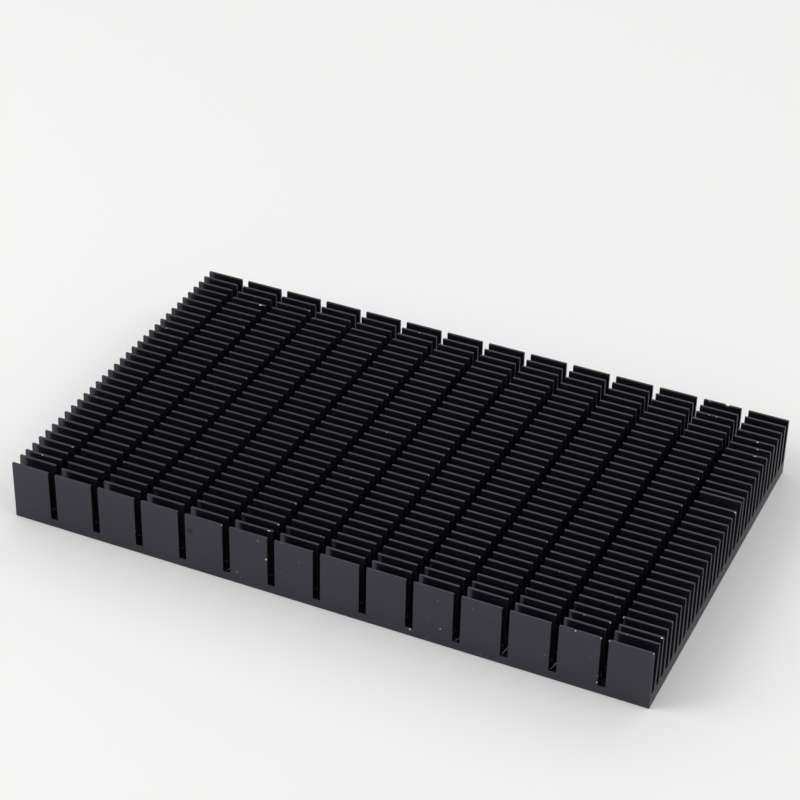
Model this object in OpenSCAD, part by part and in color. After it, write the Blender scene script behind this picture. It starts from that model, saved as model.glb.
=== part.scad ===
// Pin fin heat sink: an extruded comb of fins, cross-cut by a gang of slitting saws
// into a field of upright pins that stand on one solid base plate.

/* [Overall] */
// Length along the fins, between the two sawn ends
sink_length = 150; // [120:1:200]
// Width across the fins
sink_width = 92; // [84:1:100]
// Height from the underside to the crowns of the pins
sink_height = 14.5; // [10:0.1:25]

/* [Extruded fins] */
// Thickness of the base plate at the lowest point of a gap between fins
plate_thickness = 3.1; // [2.6:0.1:5]
// Number of fins side by side
fin_count = 34; // [20:1:36]
// Thickness of a fin just below its crown
fin_tip = 0.6; // [0.5:0.05:0.9]
// Thickness of a fin where it meets the round bottom of the gap
fin_root = 1.05; // [0.95:0.05:1.3]
// Radius along both long edges of a crown
crown_radius = 0.1; // [0.05:0.05:0.3]
// Radius along the two long lower edges of the plate
lower_edge_radius = 0.3; // [0.1:0.1:1]

/* [Cross cuts] */
// Number of saw cuts across the fins
cut_count = 13; // [6:1:14]
// Width of one saw cut
cut_width = 1.7; // [1.2:0.1:2.4]
// Height of the floor of a saw cut above the underside
cut_floor = 2.2; // [1.8:0.05:2.55]
// Length of the pins at the left end
first_pin = 9.2; // [7:0.1:12]
// Length of the pins at the right end, which is left a little longer
last_pin = 9.6; // [7:0.1:12]

/* [Knocks] */
// How far the crowns of the three knocked pins in the second row are pushed back
small_lean = 0.5; // [0.1:0.05:0.8]
// How far the crown of the badly bent pin at the right end is pushed back
large_lean = 1.1; // [0.4:0.05:1.4]
// Length of the nick in one crown of the rear row
nick_length = 1.1; // [0.6:0.1:3]
// Depth of that nick
nick_depth = 0.35; // [0.1:0.05:0.6]

/* [Hidden] */

BLACK_ANODISE = "#2b2a2e";

// Spacing of the fins: the two outer fins are flush with the sides of the plate
fin_pitch = (sink_width - fin_tip) / (fin_count - 1);
// The round bottom of a gap is a hair wider than the space between two fin roots,
// so that its arc runs in under both flanks
ARC_OVERLAP = 0.02;
gap_radius = (fin_pitch - fin_root) / 2 + ARC_OVERLAP;
// Height at which the straight flanks of the fins begin
flank_start = plate_thickness + gap_radius;
// Spacing of the saw cuts, once the two end pins have their own lengths
cut_pitch = (sink_length - first_pin - last_pin - cut_width) / (cut_count - 1);
inner_pin = cut_pitch - cut_width;

// Rounding of a crown, which keeps a narrow flat between its two edges
crown_edge = min(crown_radius, 0.45 * fin_tip);

// How far cutters run past the metal
overrun = 1;
// Leaning pins: [row counted from the front, column counted from the left, push at the crown]
KNOCKED = [
    [2, 1, small_lean],
    [2, min(11, cut_count), small_lean],
    [2, cut_count + 1, small_lean],
    [min(21, fin_count - 1), cut_count + 1, large_lean],
];
// The nick is in the rear row, in the last column but one
NICKED_COLUMN = cut_count;

$fn = 32;

// Place of a fin's middle plane across the width, for a row counted from 1 at the front
function fin_middle(row) = -sink_width / 2 + fin_tip / 2 + (row - 1) * fin_pitch;
// Place along the length where a column of pins begins, counted from 1 at the left
function pin_start(column) = -sink_length / 2
    + (column == 1 ? 0 : first_pin + cut_width + (column - 2) * cut_pitch);
function pin_length(column) = column == 1 ? first_pin
    : column == cut_count + 1 ? last_pin : inner_pin;

// Section of one fin: a slightly tapered blade with a rounded crown, on a foot that is
// rooted in the plate. A push moves the crown back while the foot stays where it was.
module fin_section(push = 0) {
    shoulder = sink_height - crown_edge;
    foot = flank_start - gap_radius / 2;
    root_half = fin_root / 2;
    tip_half = fin_tip / 2;
    polygon([
        [-root_half, foot], [root_half, foot], [root_half, flank_start],
        [push + tip_half, shoulder], [push - tip_half, shoulder], [-root_half, flank_start],
    ]);
    for (side = [-1, 1]) {
        translate([push + side * (tip_half - crown_edge), shoulder]) circle(crown_edge);
    }
    translate([push - tip_half + crown_edge, shoulder]) {
        square([fin_tip - 2 * crown_edge, crown_edge]);
    }
}

// Outline that trims the outer flanks flush, with its two lower corners rounded
module trimmed_outline() {
    r = lower_edge_radius;
    translate([-sink_width / 2, r]) square([sink_width, sink_height + overrun - r]);
    translate([r - sink_width / 2, 0]) square([sink_width - 2 * r, 2 * r]);
    for (side = [-1, 1]) {
        translate([side * (sink_width / 2 - r), r]) circle(r);
    }
}

// Section of the plate, with a round trough along its top for each gap
module plate_section() {
    difference() {
        translate([-sink_width / 2, 0]) square([sink_width, flank_start]);
        for (gap = [1 : fin_count - 1]) {
            translate([fin_middle(gap) + fin_pitch / 2, flank_start]) circle(gap_radius);
        }
    }
}

// Section of the extrusion: plate and fins in one
module comb_section() {
    intersection() {
        union() {
            plate_section();
            for (row = [1 : fin_count]) {
                translate([fin_middle(row), 0]) fin_section();
            }
        }
        trimmed_outline();
    }
}

// Lays a section drawn across the width and up the height along the length of the sink
module along_length(length) {
    rotate([90, 0, 90]) linear_extrude(height = length) children();
}

// One saw cut, straight across every fin and a little into the plate
module saw_cut(index) {
    translate([pin_start(index) + pin_length(index), -sink_width / 2 - overrun, cut_floor]) {
        cube([cut_width, sink_width + 2 * overrun, sink_height]);
    }
}

// Space of one upright pin above its root, half a gap wide on each side
module pin_space(row, column) {
    translate([pin_start(column) - cut_width / 2, fin_middle(row) - fin_pitch / 2, flank_start]) {
        cube([pin_length(column) + cut_width, fin_pitch, sink_height]);
    }
}

// A pin that leans back from its foot
module leaning_pin(row, column, push) {
    translate([pin_start(column), fin_middle(row), 0]) {
        along_length(pin_length(column)) fin_section(push);
    }
}

// A shallow round dent across one crown
module crown_nick() {
    radius = (pow(nick_length / 2, 2) + pow(nick_depth, 2)) / (2 * nick_depth);
    place = pin_start(NICKED_COLUMN) + 0.62 * pin_length(NICKED_COLUMN);
    translate([place, fin_middle(fin_count) - fin_tip, sink_height - nick_depth + radius]) {
        rotate([-90, 0, 0]) cylinder(r = radius, h = 2 * fin_tip);
    }
}

// The whole heat sink is one piece of metal
module heat_sink() {
    color(BLACK_ANODISE) {
        difference() {
            translate([-sink_length / 2, 0, 0]) along_length(sink_length) comb_section();
            for (index = [1 : cut_count]) saw_cut(index);
            for (pin = KNOCKED) pin_space(pin[0], pin[1]);
            crown_nick();
        }
        for (pin = KNOCKED) leaning_pin(pin[0], pin[1], pin[2]);
    }
}

heat_sink();
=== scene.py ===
# %% [markdown]
# # A pin fin heat sink in Blender
# The part is one piece of aluminium. A press pushes the metal through a die, which makes a
# long comb: a thin plate with 34 thin fins on it. A gang of slitting saws then cuts across
# the fins, and what is left is a field of small flat pins on a solid plate. At the end the
# whole part is anodised and dyed black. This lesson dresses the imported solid: first the
# frame, then the metal surface, the marks that handling left on it, the finishes, and last
# the light and the camera.

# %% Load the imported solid
import math
import bmesh
import bpy
import numpy as np
from mathutils import Matrix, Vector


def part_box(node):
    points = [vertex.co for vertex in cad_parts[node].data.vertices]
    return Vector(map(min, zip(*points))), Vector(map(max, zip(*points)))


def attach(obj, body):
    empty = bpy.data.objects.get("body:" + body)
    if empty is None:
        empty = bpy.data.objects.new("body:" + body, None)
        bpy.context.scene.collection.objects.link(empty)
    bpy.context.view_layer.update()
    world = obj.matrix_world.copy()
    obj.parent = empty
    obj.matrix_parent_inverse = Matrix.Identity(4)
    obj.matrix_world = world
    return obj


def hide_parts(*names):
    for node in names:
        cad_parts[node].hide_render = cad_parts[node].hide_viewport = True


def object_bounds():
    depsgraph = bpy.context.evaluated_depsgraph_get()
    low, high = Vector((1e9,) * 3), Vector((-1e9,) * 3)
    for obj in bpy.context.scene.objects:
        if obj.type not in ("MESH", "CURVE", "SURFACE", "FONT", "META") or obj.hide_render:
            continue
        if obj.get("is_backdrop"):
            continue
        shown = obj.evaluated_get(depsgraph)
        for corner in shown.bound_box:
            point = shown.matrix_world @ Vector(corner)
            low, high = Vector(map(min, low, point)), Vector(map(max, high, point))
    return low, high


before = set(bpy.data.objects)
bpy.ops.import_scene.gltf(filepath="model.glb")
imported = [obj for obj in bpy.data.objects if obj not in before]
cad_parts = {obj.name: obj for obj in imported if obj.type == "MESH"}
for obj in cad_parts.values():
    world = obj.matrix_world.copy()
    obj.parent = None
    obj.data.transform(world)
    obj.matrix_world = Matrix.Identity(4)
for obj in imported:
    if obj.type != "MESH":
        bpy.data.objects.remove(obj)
cad_low, cad_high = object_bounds()
MM = 0.001                   # Blender works in metres, the sizes below are in millimetres
box_low, box_high = (np.array(corner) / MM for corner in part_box("heat_sink"))
LENGTH, WIDTH, HEIGHT = box_high - box_low

# %% [markdown]
# ## Sizes of the comb and of the saw cuts
# These are the sizes of the solid: the section of a fin, the spacing of the fins and the
# places of the saw cuts. The spacings are worked out from the solid's box, so that the outer
# fins end flush with the sides of the plate. The two end columns of pins are a little longer
# than the others, because they take up what the saws' spacing leaves over.

# %% Sizes of the fins
FINS = 34
TIP, ROOT = 0.6, 1.05        # thickness of a fin at its crown and at its foot
CROWN_R, LOWER_R = 0.1, 0.3  # rounding of a crown, and of the plate's two lower edges
PLATE = 3.1                  # thickness of the plate under the lowest point of a gap
ARC_OVERLAP = 0.02           # how far the round bottom of a gap runs in under each flank
MICRON = 0.001               # places closer than this count as one
FIN_PITCH = (WIDTH - TIP) / (FINS - 1)
GAP_R = (FIN_PITCH - ROOT) / 2 + ARC_OVERLAP
FLANK = PLATE + GAP_R        # the flat flanks of a fin begin at this height
SHOULDER = HEIGHT - CROWN_R  # and end at this one
fin_middle = -WIDTH / 2 + TIP / 2 + FIN_PITCH * np.arange(FINS)
print(f"{FINS} fins every {FIN_PITCH:.3f} mm, gaps {SHOULDER - PLATE:.1f} mm deep")

# %% Sizes of the saw cuts
CUTS, CUT_WIDTH, CUT_FLOOR = 13, 1.7, 2.2
FIRST_PIN, LAST_PIN = 9.2, 9.6
EDGE = 0.05                  # how far the saw's wire edge is broken along each cut
CUT_PITCH = (LENGTH - FIRST_PIN - LAST_PIN - CUT_WIDTH) / (CUTS - 1)
COLUMNS = CUTS + 1
cut_start = -LENGTH / 2 + FIRST_PIN + CUT_PITCH * np.arange(CUTS)
pin_start = np.concatenate([[-LENGTH / 2], cut_start + CUT_WIDTH])
pin_end = np.concatenate([cut_start, [LENGTH / 2]])
print(f"{COLUMNS} columns of pins, most of them {CUT_PITCH - CUT_WIDTH:.2f} mm long")

# %% [markdown]
# ## The section of the comb
# Seen from the end, the extrusion is one outline. Each fin is a blade that tapers a little,
# with two rounded edges along its crown, and each gap ends in a round trough, because a
# sharp corner in the die would crack. One fin is drawn once, as a short list of points from
# the trough on its left to the trough on its right, and numpy repeats it for all fins.


# %% One fin
def arc(centre, radius, degrees):
    """Points of a circle: the centre plus the radius times (cosine, sine) of each angle."""
    turn = np.radians(np.asarray(degrees, float))
    return np.stack([centre[0] + radius * np.cos(turn), centre[1] + radius * np.sin(turn)], 1)


def fin_outline():
    """Right half of a fin, mirrored for the left half: a quarter circle at the crown, a
    straight flank, and the arc of the trough from the flank to the middle of the gap."""
    rim = arc((TIP / 2 - CROWN_R, SHOULDER), CROWN_R, [90, 60, 30, 0])
    runs_in = math.degrees(math.acos((FIN_PITCH - ROOT) / 2 / GAP_R))
    trough = arc((FIN_PITCH / 2, FLANK), GAP_R, [180 + runs_in, 218, 244, 270])
    right = np.concatenate([rim, [[ROOT / 2, FLANK]], trough])
    left = right[::-1] * [-1, 1]
    return np.concatenate([left[1:], right])


one_fin = fin_outline()
print(f"one fin: {len(one_fin)} points")

# %% [markdown]
# ### All fins and the plate
# The outer halves of the two outer fins would stand past the plate, so their points are
# dropped, and the plate's sides take their place. Each point keeps the number of its fin,
# which later says how far it leans.

# %% The whole outline
comb = (one_fin[None] + np.stack([fin_middle, 0 * fin_middle], 1)[:, None]).reshape(-1, 2)
fin_of = np.repeat(np.arange(FINS), len(one_fin))
inside = np.abs(comb[:, 0]) < WIDTH / 2 - MICRON
crown_side = np.isclose(np.abs(comb[:, 0]), WIDTH / 2) & np.isclose(comb[:, 1], SHOULDER)
keep = inside | crown_side
comb, fin_of = comb[keep], fin_of[keep]

corner = arc((-WIDTH / 2 + LOWER_R, LOWER_R), LOWER_R, [270, 240, 210, 180])
side = np.concatenate([corner, [[-WIDTH / 2, CUT_FLOOR], [-WIDTH / 2, CUT_FLOOR + EDGE]]])
outline = np.concatenate([side, comb, side[::-1] * [-1, 1]])
fin_of = np.concatenate([np.zeros(len(side), int), fin_of, np.full(len(side), FINS - 1)])
POINTS = len(outline)
print(f"outline of the comb: {POINTS} points")

# %% [markdown]
# ### The way into the metal
# The saw leaves a wire edge along each cut, and brushing breaks it. So the outline has to
# shrink a little beside a cut, and each of its points has to know which way the metal is.


# %% Directions into the metal
def inward(points):
    """The way into the metal at each point: the mean direction of its two edges, turned right."""
    step = np.diff(points, axis=0)
    step /= np.linalg.norm(step, axis=1)[:, None]
    mean = np.concatenate([step[:1], step[:-1] + step[1:], step[-1:]])
    mean /= np.linalg.norm(mean, axis=1)[:, None]
    return np.stack([mean[:, 1], -mean[:, 0]], 1)


into_metal = inward(outline)
print(f"{len(into_metal)} directions into the metal")

# %% [markdown]
# ## The knocks
# Four pins were knocked over a little, and one crown of the rear row has a nick. The other
# pins aren't perfect either: a thin fin springs a few hundredths of a millimetre when the
# saw leaves it. The lean is a table with one number for each fin and each column, so that
# the whole surface can use it at once. The outer fins stay straight, flush with the plate.

# %% Lean of every pin
SPRING, MOST_SPRING = 0.02, 0.05    # usual and largest push at the crown of a good pin
SMALL_LEAN, LARGE_LEAN = 0.5, 1.1
KNOCKED = [(1, 0, SMALL_LEAN), (1, 10, SMALL_LEAN), (1, 13, SMALL_LEAN), (20, 13, LARGE_LEAN)]
chance = np.random.default_rng(34)
lean = chance.normal(0, SPRING, (FINS, COLUMNS)).clip(-MOST_SPRING, MOST_SPRING)
lean[[0, -1]] = 0
for fin, column, push in KNOCKED:
    lean[fin, column] = push
print(f"{(lean > MOST_SPRING).sum()} knocked pins")

# %% Place of the nick
NICK_LENGTH, NICK_DEPTH = 1.1, 0.35
NICK_COLUMN, NICK_SHARE = 12, 0.62  # in the rear row: which pin, and where along it
nick_at = pin_start[NICK_COLUMN] + NICK_SHARE * (pin_end[NICK_COLUMN] - pin_start[NICK_COLUMN])
print(f"nick at {nick_at:.1f} mm")

# %% [markdown]
# ## The metal as one surface
# The surface is a grid: one parameter runs along the outline, the other along the length.
# At a saw cut the outline drops to the floor of the cut, and at a pin it stands up again,
# both at the same place along the length, so the wall between them is the sawn face of
# the pin. A grid like this has no seams and every face already points outwards. The
# stations along the length are few, because the metal is straight between them.

# %% Stations along the length
FLOOR, BROKEN, FULL = 0, 1, 2     # outline cut down, at the broken edge, in full
ACROSS_NICK = [-1, -0.6, -0.25, 0.25, 0.6, 1]
stations = []
for column in range(COLUMNS):
    start, end = pin_start[column], pin_end[column]
    places = [(start, FLOOR), (start, BROKEN), (start + EDGE, FULL)]
    if column == NICK_COLUMN:
        places += [(nick_at + share * NICK_LENGTH / 2, FULL) for share in ACROSS_NICK]
    places += [(end - EDGE, FULL), (end, BROKEN), (end, FLOOR)]
    stations += [(x, kind, column) for x, kind in places]
stations = stations[1:-1]         # the two sawn ends of the plate have no cut beside them
along, kind, column_of = (np.array(values) for values in zip(*stations))
print(f"{len(stations)} stations along the length")

# %% The grid of points
DRAW_IN = 0.45                    # share of its lean by which a pin draws in at the cut floor


def metal_surface():
    """Place of each grid point: the outline, set up at each station. It leans back in
    proportion to its height on the flank. The nick sinks the crown by a parabola, which is
    close to the solid's round dent. A broken edge moves the outline by EDGE into the metal.
    In a cut, all that is higher is pressed down to the floor and doesn't lean, and a leaning
    pin draws in there, so that its sawn wall stays within its outline."""
    shape = (len(stations), POINTS)
    x = np.broadcast_to(along[:, None], shape).copy()
    y = np.broadcast_to(outline[:, 0], shape).copy()
    z = np.broadcast_to(outline[:, 1], shape).copy()
    share = ((outline[:, 1] - FLANK) / (SHOULDER - FLANK)).clip(0, 1)
    push = lean[fin_of][:, column_of].T * share
    drop = NICK_DEPTH * (1 - ((along - nick_at) / (NICK_LENGTH / 2)) ** 2).clip(0, 1)
    rear_crown = (fin_of == FINS - 1) & (outline[:, 1] > SHOULDER - MICRON)
    in_nick = (column_of == NICK_COLUMN)[:, None] & rear_crown
    z -= np.where(in_nick, drop[:, None], 0)
    above_floor = outline[:, 1] > CUT_FLOOR + MICRON
    broken = (kind == BROKEN)[:, None] & above_floor
    cut_down = (kind == FLOOR)[:, None] & above_floor
    y += np.where(cut_down, 0, push) + np.where(broken, EDGE * into_metal[:, 0], 0)
    z += np.where(broken, EDGE * into_metal[:, 1], 0)
    narrow = np.abs(push) * DRAW_IN * np.sign(outline[:, 0] - fin_middle[fin_of])
    y -= np.where(cut_down, narrow, 0)
    z = np.where(cut_down, CUT_FLOOR, z)
    return np.stack([x, y, z], 2)


metal = metal_surface()
print(f"{metal.shape[0]} x {metal.shape[1]} points, up to {metal[:, :, 2].max():.2f} mm high")


# %% Faces and pieces
def grid_faces(rows, columns):
    """Each cell of the grid is one face, and the last column joins the first."""
    r, c = np.meshgrid(np.arange(rows - 1), np.arange(columns), indexing="ij")
    after = (c + 1) % columns
    cell = [r * columns + c, (r + 1) * columns + c, (r + 1) * columns + after,
            r * columns + after]
    return np.stack(cell, 2).reshape(-1, 4)


def make_piece(name, points, faces, body="root"):
    """Puts points (mm) and faces into a new mesh object at the origin that rides on a body."""
    mesh = bpy.data.meshes.new(name)
    mesh.from_pydata((np.asarray(points) * MM).tolist(), [], [list(map(int, f)) for f in faces])
    piece = bpy.data.objects.new(name, mesh)
    bpy.context.scene.collection.objects.link(piece)
    mesh.update()
    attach(piece, body)
    return piece


rows = len(stations)
faces = grid_faces(rows, POINTS).tolist()
left_end = list(range(POINTS))
right_end = list(range((rows - 1) * POINTS, rows * POINTS))[::-1]
print(f"{len(faces)} faces along the metal and 2 sawn ends")

# %% [markdown]
# ### Closing the surface
# In a cut, neighbouring points of the outline can land on the same place. They are merged,
# so that no face is empty and no edge is left open. At the foot of a leaning pin some faces
# of the cut overlap in their own plane, where it doesn't show: by 0.05 mm, or by 0.6 mm at
# the badly bent pin. The rounded edges are shaded smooth, with turns of up to 30 degrees
# from face to face. Sharper edges stay sharp, and weighted normals keep the flat faces flat.

# %% The field of pins
MERGE = 1e-7                      # in metres, far below any real size here
SHARP = math.radians(38)
pin_field = make_piece("pin_field", metal.reshape(-1, 3), faces + [left_end, right_end])
work = bmesh.new()
work.from_mesh(pin_field.data)
bmesh.ops.remove_doubles(work, verts=work.verts, dist=MERGE)
work.to_mesh(pin_field.data)
open_edges = sum(e.is_boundary for e in work.edges)
print(f"pin field: {len(work.faces)} faces, {open_edges} open edges, "
      f"{work.calc_volume() / MM ** 3:.0f} cubic mm")
work.free()
pin_field.data.shade_smooth()
pin_field.data.set_sharp_from_angle(angle=SHARP)
weighted = pin_field.modifiers.new("flat faces stay flat", "WEIGHTED_NORMAL")
weighted.keep_sharp = True
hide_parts("heat_sink")

# %% [markdown]
# ## Knocked corners
# The oxide layer is hard but thin, and a knock on the corner of a pin breaks it: the bare
# metal under it is pushed up into a small bright flake. Most flakes sit at the end of a pin,
# on the corner that the saw left. Torn metal has no regular form, so each flake is the
# convex hull of a few random points, which is always closed and has few faces. It is sunk
# half into the front edge of the crown.

# %% Places of the large flakes
# fin counted from the front, column from the left, place along the pin, length in mm
FLAKES = [(5, 1, 0.96, 0.5), (3, 1, 0.48, 0.6), (24, 1, 0.35, 0.7), (1, 5, 0.99, 0.4),
          (2, 6, 0.90, 1.0), (3, 6, 0.99, 0.5), (33, 6, 0.51, 0.4), (18, 7, 0.49, 0.4),
          (32, 2, 0.52, 0.5), (31, 2, 0.86, 1.3), (32, 3, 0.97, 0.4), (28, 5, 0.98, 0.5),
          (1, 13, 0.99, 0.5), (3, 13, 0.98, 0.4), (6, 13, 0.79, 0.4), (3, 13, 0.36, 0.3),
          (32, 13, 0.54, 0.4), (32, 13, 0.35, 0.3), (34, 13, 0.16, 0.5), (1, 14, 0.99, 0.6),
          (1, 14, 0.01, 0.4), (3, 14, 0.97, 0.6), (4, 14, 0.01, 0.4), (20, 14, 0.98, 0.8),
          (28, 14, 0.71, 1.9), (29, 14, 0.66, 1.2), (30, 14, 0.59, 0.9)]
print(f"{len(FLAKES)} large flakes, the longest {max(f[3] for f in FLAKES)} mm")

# %% One flake
HULL_POINTS = 16


def flake_hull(work, place, half):
    """The convex hull of random directions of length one times the half sizes, moved to the
    place and kept within the part's box."""
    points = chance.normal(size=(HULL_POINTS, 3))
    points /= np.linalg.norm(points, axis=1)[:, None]
    points = place + points * half
    limit = np.array([LENGTH / 2, WIDTH / 2, HEIGHT]) - MICRON
    points = points.clip([-limit[0], -limit[1], 0], limit)
    verts = [work.verts.new(point * MM) for point in points]
    hull = bmesh.ops.convex_hull(work, input=verts)
    spare = set(hull["geom_interior"] + hull["geom_unused"])
    bmesh.ops.delete(work, geom=[vert for vert in verts if vert in spare], context="VERTS")


def crown_edge(fin, column, share):
    """The front edge of a crown, leaned back with its pin, at a share of the pin's length:
    0.08 mm in from the flank and 0.07 mm below the crown."""
    across = fin_middle[fin] + lean[fin, column] - TIP / 2 + 0.08
    return np.array([pin_start[column] + share * (pin_end[column] - pin_start[column]),
                     across, HEIGHT - 0.07])


print(f"first crown edge at {crown_edge(0, 0, 0).round(2)} mm")

# %% [markdown]
# ### All flakes in one piece
# The large flakes are placed one by one, and one more runs down the corner of its pin. The
# small ones fall at random, two of three at the end of a pin. They are less than 0.4 mm long
# and no two are alike, so only their number and their range of sizes are set.

# %% Bright flakes
LARGE_HALF = [0.16, 0.14]                       # half of a large flake's depth and height
TORN_HALF, TORN_DROP = [0.12, 0.15, 0.75], 0.5  # the one that is torn down a corner
SMALL_FLAKES = 44
SMALL_LEAST, SMALL_MOST = [0.08, 0.09, 0.08], [0.18, 0.13, 0.12]
PIN_END = 0.99                                  # share of a pin's length
work = bmesh.new()
for fin, column, share, length in FLAKES:
    place = crown_edge(fin - 1, column - 1, share)
    flake_hull(work, place, np.array([length / 2] + LARGE_HALF))
torn_end = crown_edge(19, 13, 1.0) - [0, 0, TORN_DROP]
flake_hull(work, torn_end, np.array(TORN_HALF))
for _ in range(SMALL_FLAKES):
    fin, column = chance.integers(1, FINS), chance.integers(0, COLUMNS)
    share = chance.choice([PIN_END, PIN_END, chance.uniform(0.05, 0.95)])
    place = crown_edge(fin, column, share)
    flake_hull(work, place, chance.uniform(SMALL_LEAST, SMALL_MOST))
bmesh.ops.recalc_face_normals(work, faces=work.faces)
flakes = make_piece("bright_flakes", [], [])
work.to_mesh(flakes.data)
print(f"{len(FLAKES) + 1 + SMALL_FLAKES} flakes, {len(work.faces)} faces")
work.free()

# %% [markdown]
# ## Hairs of swarf
# A saw tooth can leave a fine hair of metal behind. Four of them still stand in the cuts at
# the front, each from the floor of its cut to the wall on its right. A hair is a thin tube
# carried along a bowed line, because such a hair curls as it tears off.

# %% One hair
RING, PLACES = 6, 9               # points round a hair, and rings along it
HAIR_R = 0.04


def hair_tube(foot, head, bow):
    """A thin tube along a curve: foot to head in a straight line plus a bow that is widest
    half way. Its radius falls to half from the foot to the head."""
    t = np.linspace(0, 1, PLACES)[:, None]
    line = foot + (head - foot) * t + bow * 4 * t * (1 - t)
    turn = np.linspace(0, 2 * np.pi, RING + 1)[:-1]
    ring = HAIR_R * np.stack([np.cos(turn), np.sin(turn), 0 * turn], 1)
    return (line[:, None] + ring * (1 - 0.5 * t[:, :, None])).reshape(-1, 3)


tube_faces = grid_faces(PLACES, RING)[:, ::-1].tolist()
tube_faces += [list(range(RING))[::-1], list(range(RING * (PLACES - 1), RING * PLACES))]
print(f"one hair: {RING * PLACES} points, {len(tube_faces)} faces")

# %% All hairs
# cut counted from 0 on the left, and height of the head above the floor of the cut
HAIRS = [(4, 1.1), (9, 1.3), (10, 3.0), (11, 2.7)]
FROM_LEFT_WALL, FROM_RIGHT_WALL = 0.15, 0.02
FOOT_IN, HEAD_IN = 0.4, 0.3       # in from the front face
FOOT_SUNK = 0.1                   # into the floor of the cut
BOW = np.array([0.1, 0.05, -0.1])
hair_points, hair_faces = [], []
for cut, rise in HAIRS:
    foot = np.array([cut_start[cut] + FROM_LEFT_WALL, -WIDTH / 2 + FOOT_IN, CUT_FLOOR - FOOT_SUNK])
    head = np.array([cut_start[cut] + CUT_WIDTH - FROM_RIGHT_WALL, -WIDTH / 2 + HEAD_IN,
                     CUT_FLOOR + rise])
    first = RING * PLACES * len(hair_points)
    hair_points.append(hair_tube(foot, head, BOW))
    hair_faces += [[first + i for i in face] for face in tube_faces]
hairs = make_piece("swarf_hairs", np.concatenate(hair_points), hair_faces)
hairs.data.shade_smooth()
print(f"{len(hair_points)} hairs, {len(hair_faces)} faces")

# %% [markdown]
# ## Finishes
# Colours are written as sRGB hex and one function turns them to linear light. One small
# function adds a node with its settings and its links, which keeps the materials short.


# %% Helpers for colour and nodes
def linear(hex_colour):
    """sRGB to linear light: a straight part near black, then a power of 2.4."""
    c = np.array([int(hex_colour[i:i + 2], 16) / 255 for i in (1, 3, 5)])
    c = np.where(c <= 0.04045, c / 12.92, ((c + 0.055) / 1.055) ** 2.4)
    return (*c, 1.0)


def add(tree, kind, settings=None, **inputs):
    """Adds a node, sets its own settings and fills its sockets with values or links."""
    node = tree.nodes.new("ShaderNode" + kind)
    for key, value in (settings or {}).items():
        setattr(node, key, value)
    for key, value in inputs.items():
        key = int(key[1:]) if key[0] == "i" and key[1:].isdigit() else key.replace("_", " ")
        socket = node.inputs[key]
        if isinstance(value, bpy.types.NodeSocket):
            tree.links.new(value, socket)
        else:
            socket.default_value = value
    return node


def new_material(name):
    """A new material, its node tree and its shader, ready for nodes."""
    material = bpy.data.materials.new(name)
    material.use_nodes = True
    return material, material.node_tree, material.node_tree.nodes["Principled BSDF"]


print(f"half of white on screen is {linear('#808080')[0]:.3f} of white light")

# %% [markdown]
# ### Black anodised aluminium
# Anodising grows a thin clear layer on the metal, and black dye fills its pores. Light that
# isn't reflected at the top of the layer is swallowed by the dye, so the eye sees only a
# weak grey satin reflection. It could be made as black paint under a clear coat, but the
# reflection of the metal has the dye's own dark tone, so it is made as a dark metal. At a
# low angle light has a longer way through the dye, and the tint of the metal's edge
# reflection keeps it from turning white there.

# %% A dark metal
ANODISED_METAL = 0.86
EDGE_TINT = (0.62, 0.62, 0.64, 1)
anodised, tree, shader = new_material("black anodised extruded aluminium")
shader.inputs["Metallic"].default_value = ANODISED_METAL
shader.inputs["Specular Tint"].default_value = EDGE_TINT
place = add(tree, "TexCoord").outputs["Object"]
millimetres = add(tree, "VectorMath", {"operation": "SCALE"}, i0=place, Scale=1 / MM)
millimetres = millimetres.outputs["Vector"]
pin_field.data.materials.append(anodised)
print(f"new finish: {anodised.name}")

# %% [markdown]
# ### Sawn and extruded faces
# The die leaves fine lines along the extrusion, and the saw leaves fine lines across the
# sawn faces. A sawn face looks along the length, or it is the floor of a cut, so the
# direction and the height of a point tell the two apart, and no face needs a number.

# %% Where the metal is sawn
ALONG, UP = 0.6, 0.9              # from here on a direction counts as along the length, or up
facing = add(tree, "SeparateXYZ", Vector=add(tree, "NewGeometry").outputs["Normal"]).outputs
height = add(tree, "SeparateXYZ", Vector=millimetres).outputs["Z"]
sideways = add(tree, "Math", {"operation": "ABSOLUTE"}, i0=facing["X"]).outputs[0]
on_ends = add(tree, "Math", {"operation": "GREATER_THAN"}, i0=sideways, i1=ALONG).outputs[0]
upward = add(tree, "Math", {"operation": "GREATER_THAN"}, i0=facing["Z"], i1=UP).outputs[0]
low_down = add(tree, "Math", {"operation": "LESS_THAN"}, i0=height, i1=CUT_FLOOR + EDGE)
on_floor = add(tree, "Math", {"operation": "MULTIPLY"}, i0=upward, i1=low_down.outputs[0])
sawn = add(tree, "Math", {"operation": "MAXIMUM"}, i0=on_ends, i1=on_floor.outputs[0])
sawn = sawn.outputs[0]
print(f"sawn: faces along the length, and floors below {CUT_FLOOR + EDGE:.2f} mm")

# %% Die lines and saw marks
# how many there are to a millimetre along the part, across it and up
DIE_LINES = (0.03, 5.0, 5.0)
SAW_MARKS = (1.0, 1.2, 6.0)
stretched = add(tree, "Mapping", Vector=millimetres, Scale=DIE_LINES)
die_lines = add(tree, "TexNoise", Vector=stretched.outputs[0], Scale=1.0, Detail=2.0)
die_lines = die_lines.outputs["Fac"]
# the noise has a square grid of its own, and a turn keeps the marks off it
combed = add(tree, "Mapping", Vector=millimetres, Scale=SAW_MARKS,
             Rotation=(math.radians(24), 0, 0))
saw_marks = add(tree, "TexNoise", Vector=combed.outputs[0], Scale=1.0, Detail=3.0)
saw_marks = saw_marks.outputs["Fac"]
print(f"die lines every {1 / DIE_LINES[1]:.1f} mm, saw marks every {1 / SAW_MARKS[2]:.1f} mm")

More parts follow.
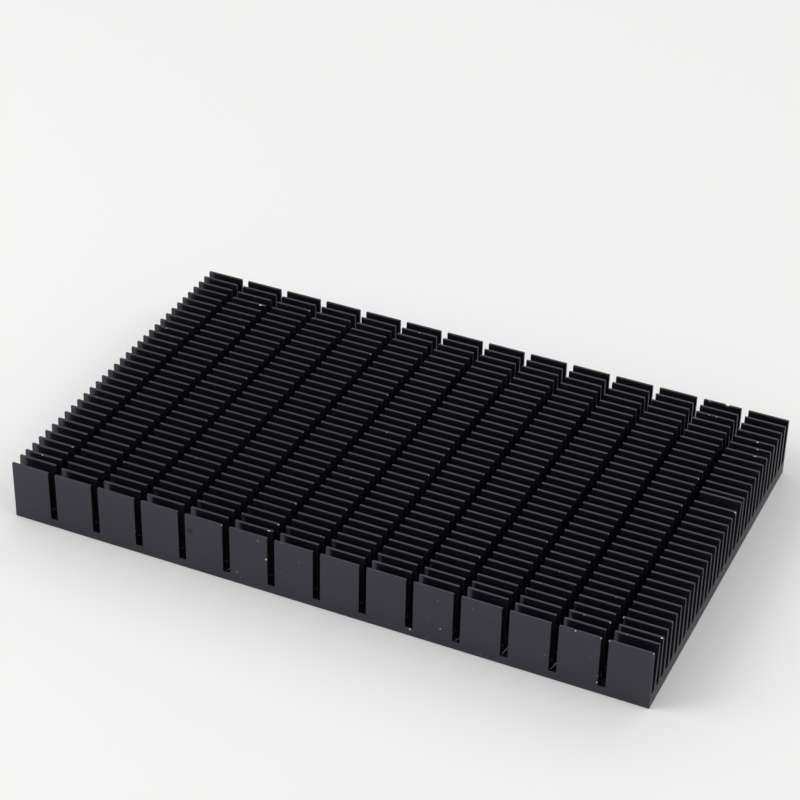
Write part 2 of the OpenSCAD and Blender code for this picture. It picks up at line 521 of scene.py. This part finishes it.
# %% Roughness and fine relief
NOISE_LOW, NOISE_HIGH = 0.3, 0.7  # nearly all values of the noise lie between these
SATIN, SAWN_SATIN = (0.18, 0.28), (0.22, 0.32)
RELIEF_STRENGTH, RELIEF_DEPTH = 0.25, 0.01 * MM
smooth = add(tree, "MapRange", Value=die_lines, From_Min=NOISE_LOW, From_Max=NOISE_HIGH,
             To_Min=SATIN[0], To_Max=SATIN[1]).outputs[0]
rough = add(tree, "MapRange", Value=saw_marks, From_Min=NOISE_LOW, From_Max=NOISE_HIGH,
            To_Min=SAWN_SATIN[0], To_Max=SAWN_SATIN[1]).outputs[0]
roughness = add(tree, "Mix", {"data_type": "FLOAT"}, Factor=sawn, i2=smooth, i3=rough)
tree.links.new(roughness.outputs[0], shader.inputs["Roughness"])
grain = add(tree, "Mix", {"data_type": "FLOAT"}, Factor=sawn, i2=die_lines, i3=saw_marks)
bump = add(tree, "Bump", Strength=RELIEF_STRENGTH, Distance=RELIEF_DEPTH,
           Height=grain.outputs[0])
tree.links.new(bump.outputs[0], shader.inputs["Normal"])
print(f"roughness {SATIN} where extruded, {SAWN_SATIN} where sawn")

# %% [markdown]
# ### Dust, bare spots and a smudge
# A black part shows every grain of dust. Knocks have also broken the layer in a few spots
# on the front face, where bare metal shines through, and one dull smudge was left there by
# handling. The spots are in the material, because they are flat: only their outline has to
# be ragged, and noise that moves the place a little does that.

# %% Dust
DUST_CELLS = 0.5                  # cells to a millimetre, so one is 2 mm wide
CLEAN_SHARE, GRAIN = 0.25, 0.08   # a quarter has no grain, the largest is 0.3 mm wide
cells = add(tree, "TexVoronoi", Vector=millimetres, Scale=DUST_CELLS).outputs
chosen = add(tree, "SeparateColor", Color=cells["Color"]).outputs[0]
grain_size = add(tree, "MapRange", Value=chosen, From_Min=CLEAN_SHARE, To_Min=0.0, To_Max=GRAIN)
dust = add(tree, "Math", {"operation": "LESS_THAN"}, i0=cells["Distance"],
           i1=grain_size.outputs[0]).outputs[0]
print(f"grains of dust up to {2 * GRAIN / DUST_CELLS:.2f} mm")

# %% Spots on the front face
# distance from the left end, height and radius
FRONT_KNOCKS = [(62.9, 8.9, 0.25), (103.6, 4.4, 0.22), (53.8, 2.4, 0.26), (96.7, 1.9, 0.28),
                (138.6, 2.9, 0.24), (61.0, 13.2, 0.16), (55.8, 3.1, 0.16), (133.2, 14.55, 0.25)]
SMUDGES = [(44.5, 10.4, 0.9)]
RAGGED, WAVES = 0.3, 3.0          # how far noise moves an outline, and its waves to 1 mm
CORE = 0.6                        # share of the radius at which a spot begins to fade


def near_any(tree, place, spots):
    """1 at the middle of each spot on the front face, falling to 0 at its radius. The noise
    moves a place by half of RAGGED on average, so the middles move by that too."""
    mask = 0.0
    for from_left, up, radius in spots:
        middle = (from_left - LENGTH / 2 + RAGGED / 2, -WIDTH / 2 + RAGGED / 2, up + RAGGED / 2)
        away = add(tree, "VectorMath", {"operation": "DISTANCE"}, i0=place, i1=middle)
        inside = add(tree, "MapRange", Value=away.outputs["Value"], From_Min=radius * CORE,
                     From_Max=radius, To_Min=1.0, To_Max=0.0).outputs[0]
        mask = add(tree, "Math", {"operation": "MAXIMUM"}, i0=mask, i1=inside).outputs[0]
    return mask


wavy = add(tree, "TexNoise", Vector=millimetres, Scale=WAVES, Detail=1.0).outputs["Color"]
ragged = add(tree, "VectorMath", {"operation": "MULTIPLY_ADD"}, i0=wavy,
             i1=(RAGGED, RAGGED, RAGGED), i2=millimetres).outputs[0]
bare = near_any(tree, ragged, FRONT_KNOCKS)
smudge = near_any(tree, ragged, SMUDGES)
print(f"{len(FRONT_KNOCKS)} bare spots, {len(SMUDGES)} smudge")

# %% [markdown]
# ### Tone
# Each layer covers the tone under it where its mask is 1: first the dye, which is a little
# cloudy in patches of 10 to 20 mm, then the darker sawn faces, the dust, the smudge and the
# bare spots.

# %% Layers of colour
DYE_DARK, DYE_PALE, SAWN_DYE = "#3f3e46", "#46454e", "#39383e"
DUST, SMUDGE, BARE = "#84838a", "#343338", "#cfcfd2"
CLOUDS = 0.07                     # patches of the dye to a millimetre
clouds = add(tree, "TexNoise", Vector=millimetres, Scale=CLOUDS, Detail=2.0).outputs["Fac"]
tone = linear(DYE_DARK)
for mask, colour in [(clouds, DYE_PALE), (sawn, SAWN_DYE), (dust, DUST), (smudge, SMUDGE),
                     (bare, BARE)]:
    tone = add(tree, "Mix", {"data_type": "RGBA"}, Factor=mask, i6=tone,
               i7=linear(colour)).outputs[2]
tree.links.new(tone, shader.inputs["Base Color"])
print(f"{anodised.name}: {len(tree.nodes)} nodes")

# %% [markdown]
# ### Bare torn aluminium
# Where the layer is broken the eye sees the metal itself: pale and bright, but dull, because
# a torn surface scatters what it reflects. Its tone changes every few tenths of a
# millimetre, as the tears do.

# %% Bare metal
TEARS = 6                         # changes of tone to a millimetre
torn, tree, shader = new_material("bare torn aluminium")
place = add(tree, "TexCoord").outputs["Object"]
tear = add(tree, "TexNoise", Vector=place, Scale=TEARS / MM, Detail=2.0).outputs["Fac"]
tone = add(tree, "Mix", {"data_type": "RGBA"}, Factor=tear, i6=linear("#cdcdd0"),
           i7=linear("#fafafa"))
tree.links.new(tone.outputs[2], shader.inputs["Base Color"])
shader.inputs["Metallic"].default_value = 1.0
shader.inputs["Roughness"].default_value = 0.32
flakes.data.materials.append(torn)
hairs.data.materials.append(torn)
print(f"{torn.name}: {len(tree.nodes)} nodes")

# %% [markdown]
# ## Floor and surroundings
# The part lies on a large sheet of pale paper. A polished or satin metal shows mostly what
# is around it, so the walls of the room are as bright as paper and the ceiling is darker:
# the upright faces and the rounded crowns catch the walls, and the flat gaps between the
# pins, which look up, stay dark.

# %% Floor
REACH = 3.0                       # metres from the middle of the floor to its sides
floor = bpy.data.meshes.new("floor")
floor.from_pydata([(-REACH, -REACH, 0), (REACH, -REACH, 0), (REACH, REACH, 0), (-REACH, REACH, 0)],
                  [], [(0, 1, 2, 3)])
floor = bpy.data.objects.new("floor", floor)
bpy.context.scene.collection.objects.link(floor)
floor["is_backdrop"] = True
paper, tree, shader = new_material("white paper sweep")
shader.inputs["Base Color"].default_value = linear("#f8f8f7")
shader.inputs["Roughness"].default_value = 0.9
shader.inputs["Specular IOR Level"].default_value = 0.1
floor.data.materials.append(paper)
print(f"floor {2 * REACH:.0f} m wide")

# %% Walls and ceiling of light
WALLS, CEILING = 1.0, 0.3         # strength of the light that comes from each
WALLS_END, CEILING_START = 0.6, 0.9     # upward part of a direction of length one
world = bpy.data.worlds.new("studio")
bpy.context.scene.world = world
world.use_nodes = True
tree = world.node_tree
direction = add(tree, "TexCoord").outputs["Generated"]
height = add(tree, "SeparateXYZ", Vector=direction).outputs["Z"]
glow = add(tree, "MapRange", {"interpolation_type": "SMOOTHSTEP"}, Value=height,
           From_Min=WALLS_END, From_Max=CEILING_START, To_Min=WALLS, To_Max=CEILING)
tree.nodes["Background"].inputs["Color"].default_value = linear("#fafafa")
tree.links.new(glow.outputs[0], tree.nodes["Background"].inputs["Strength"])
print(f"the walls of light end {math.degrees(math.asin(WALLS_END)):.0f} degrees up")

# %% [markdown]
# ## Lamps
# The walls of light alone would light every side alike, so three large soft boxes add a
# direction. The left one lights the front face, the right one the sawn ends, and the wide
# one at the back draws the pale line along each crown. A lamp and a camera both look along
# their own minus Z, so one helper places both.


# %% Soft boxes
def stand(name, data, place, across, back):
    """A lamp or camera at a place in metres: its X axis points across its view, its Z axis
    points back, and its Y axis is the cross product of the two."""
    holder = bpy.data.objects.new(name, data)
    bpy.context.scene.collection.objects.link(holder)
    turn = np.eye(4)
    turn[:3] = np.stack([across, np.cross(back, across), back, place], 1)
    holder.matrix_world = Matrix(turn)
    return holder


def soft_box(name, place, size, watts):
    """A rectangular area lamp that faces the origin: back is the direction of its place, and
    across is level, the cross product of up and back."""
    lamp = bpy.data.lights.new(name, "AREA")
    lamp.shape, lamp.energy = "RECTANGLE", watts
    lamp.size, lamp.size_y = size
    back = np.array(place) / np.linalg.norm(place)
    across = np.cross([0, 0, 1.0], back)
    across /= np.linalg.norm(across)
    stand(name, lamp, place, across, back)
    print(f"{name}: {watts} W from {np.linalg.norm(place):.2f} m")


soft_box("left softbox", (-0.65, -0.4, 0.6), (0.5, 0.5), 3.0)
soft_box("right softbox", (1.1, 0.0, 0.9), (0.8, 0.8), 3.0)
soft_box("back softbox", (0.1, 1.05, 0.74), (1.2, 0.6), 1.3)

# %% [markdown]
# ## Camera
# A long lens from about half a metre away, looking down over the front right-hand corner.
# Its two directions are rounded numbers, so the second one is squared to the first again.

# %% Camera
CAMERA_PLACE = np.array([178.04, -406.19, 324.19])
FOCAL_LENGTH, SENSOR = 108.37, 36
view_right = np.array([0.90907, 0.41627, 0.01783])
view_ahead = np.array([-0.33628, 0.7583, -0.55848])
view_right /= np.linalg.norm(view_right)
view_ahead -= view_right * (view_ahead @ view_right)
view_ahead /= np.linalg.norm(view_ahead)
camera = stand("camera", bpy.data.cameras.new("camera"), CAMERA_PLACE * MM, view_right,
               -view_ahead)
camera.data.sensor_width = SENSOR
camera.data.lens = FOCAL_LENGTH
camera.data.clip_start = 0.01
bpy.context.scene.camera = camera
bpy.context.scene.view_settings.view_transform = "Standard"
print(f"camera {np.linalg.norm(CAMERA_PLACE):.0f} mm away, looking "
      f"{math.degrees(math.asin(-view_ahead[2])):.0f} degrees down")

bpy.context.view_layer.update()
low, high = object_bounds()
past = np.max([np.subtract(cad_low, low), np.subtract(high, cad_high)]) / MM
print(f"the dressed part stands {past:.3f} mm past the solid's box")
